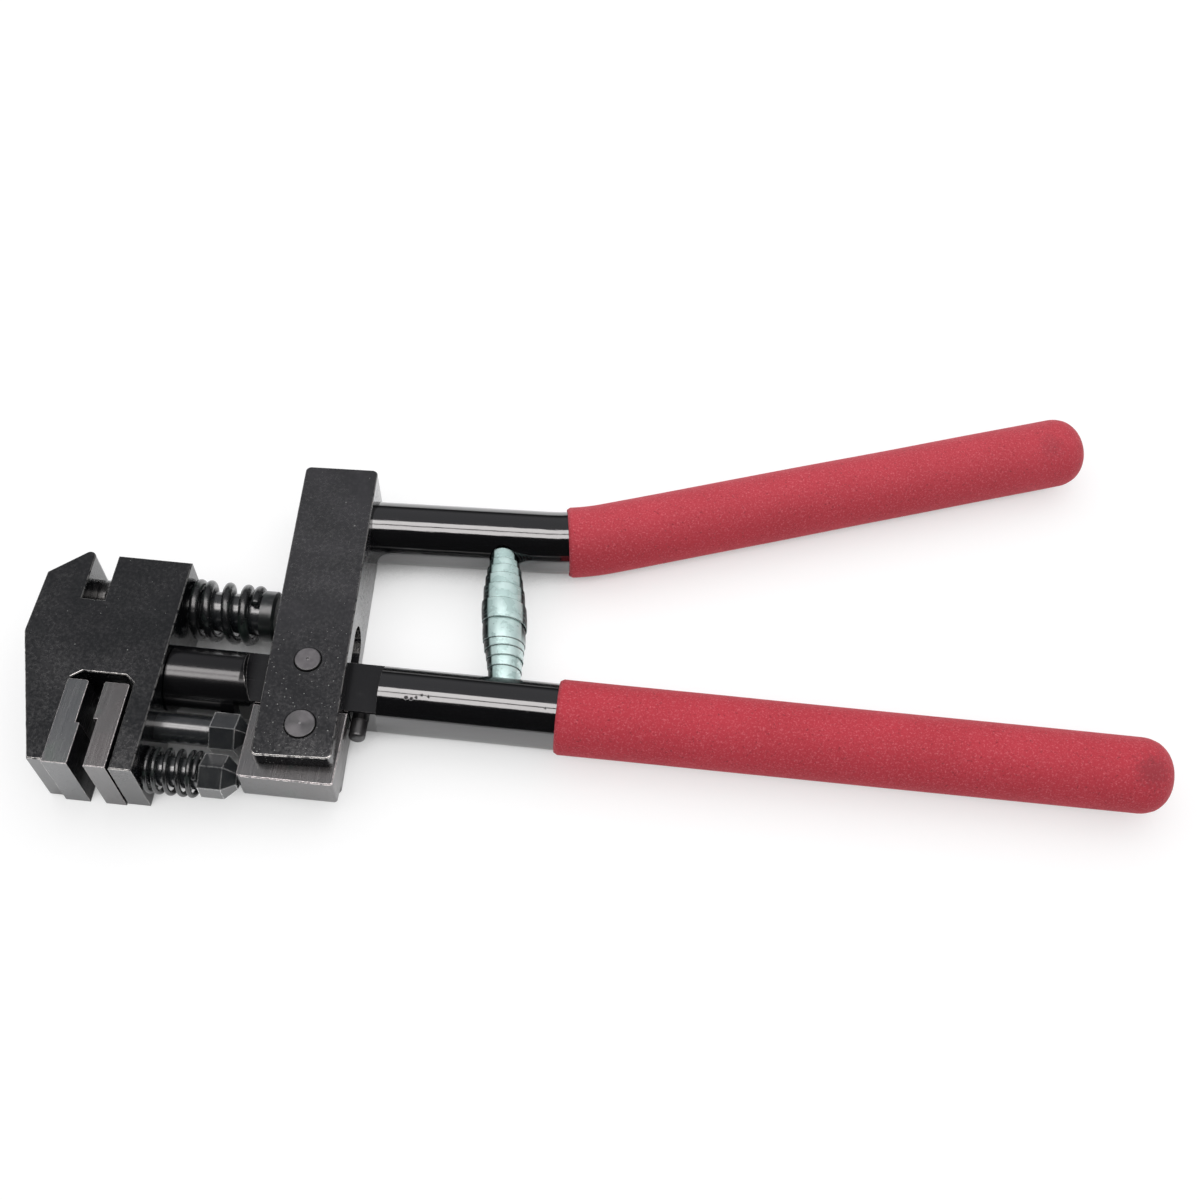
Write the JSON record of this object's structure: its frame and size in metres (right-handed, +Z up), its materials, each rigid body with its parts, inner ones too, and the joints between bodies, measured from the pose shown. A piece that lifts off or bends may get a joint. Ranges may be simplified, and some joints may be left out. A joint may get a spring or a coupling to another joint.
{
  "type": "punch and flange pliers",
  "caption": "Hand pliers with a swivelling head that punches a round hole in sheet metal or sets a joggled flange along its edge, opened again by a volute spring.",
  "frame": {"origin": "where the pivot pin's axis meets the plane that the pliers rest on, which is the underside of the lever and head blocks", "axes": "+X along the bar from the working head to the lower handle's end, +Y from the lower handle towards the upper handle, +Z up out of the rest plane along the pivot pin"},
  "size_m": [0.3067, 0.1497, 0.0232],
  "materials": {
    "gloss_black_bar": "gloss black over polished bar",
    "charcoal_block": "satin charcoal with bright worn corners",
    "blackened_die": "blackened tool steel, ground faces",
    "pusher_steel": "oiled tool steel",
    "pin_steel": "turned and darkened",
    "bush_steel": "hardened and ground",
    "plunger_black": "satin black",
    "spring_black": "gloss black wire",
    "zinc_strip": "zinc plated spring strip",
    "red_foam": "matte closed cell foam"
  },
  "bodies": {
    "bar": {"central_bar": "gloss_black_bar", "stop_pin": "pin_steel", "lower_grip": "red_foam", "volute_spring": "zinc_strip"},
    "lever": {"lever_block": "charcoal_block", "pivot_pin": "pin_steel", "pusher_pin": "pin_steel", "upper_handle": "gloss_black_bar", "upper_grip": "red_foam"},
    "pusher": {"pusher_block": "pusher_steel"},
    "head": {"head_body": "charcoal_block", "retaining_screw": "plunger_black", "die_bush": "bush_steel", "guide_bush": "bush_steel", "fixed_die": "blackened_die", "fixed_die_screw_1": "plunger_black", "fixed_die_screw_2": "plunger_black", "joggle_spring": "spring_black", "punch_spring": "spring_black"},
    "joggle_set": {"moving_die": "blackened_die", "drive_plunger": "plunger_black", "spring_plunger": "plunger_black"},
    "punch_set": {"punch": "plunger_black", "punch_collar": "plunger_black"}
  },
  "joints": [
    {"name": "lever_pivot", "type": "hinge", "parent": "bar", "child": "lever", "pos_m": [0, 0, 0.011], "axis": [0, 0, -1], "range_deg": [0, 9.4], "stiffness_Nm_per_rad": 12, "springref_deg": -6.88, "deforming": ["volute_spring"]},
    {"name": "pusher_turn", "type": "hinge", "parent": "lever", "child": "pusher", "pos_m": [0.00184, -0.01893, 0.011], "axis": [0, 0, 1], "range_deg": [0, 9.5]},
    {"name": "head_swivel", "type": "hinge", "parent": "bar", "child": "head", "pos_m": [-0.0376, -0.0038, 0.011], "axis": [1, 0, 0], "range_deg": [0, 180]},
    {"name": "joggle_slide", "type": "slide", "parent": "head", "child": "joggle_set", "axis": [-1, 0, 0], "range_m": [0, 0.0032], "deforming": ["joggle_spring"]},
    {"name": "punch_slide", "type": "slide", "parent": "head", "child": "punch_set", "axis": [-1, 0, 0], "range_m": [0, 0.0032], "deforming": ["punch_spring"]}
  ],
  "couplings": [
    {"joint": "pusher_turn", "follows": "lever_pivot", "ratio": 1},
    {"joint": "joggle_slide", "follows": "lever_pivot", "m_per_rad": 0.019},
    {"joint": "punch_slide", "follows": "lever_pivot", "m_per_rad": 0.019}
  ]
}
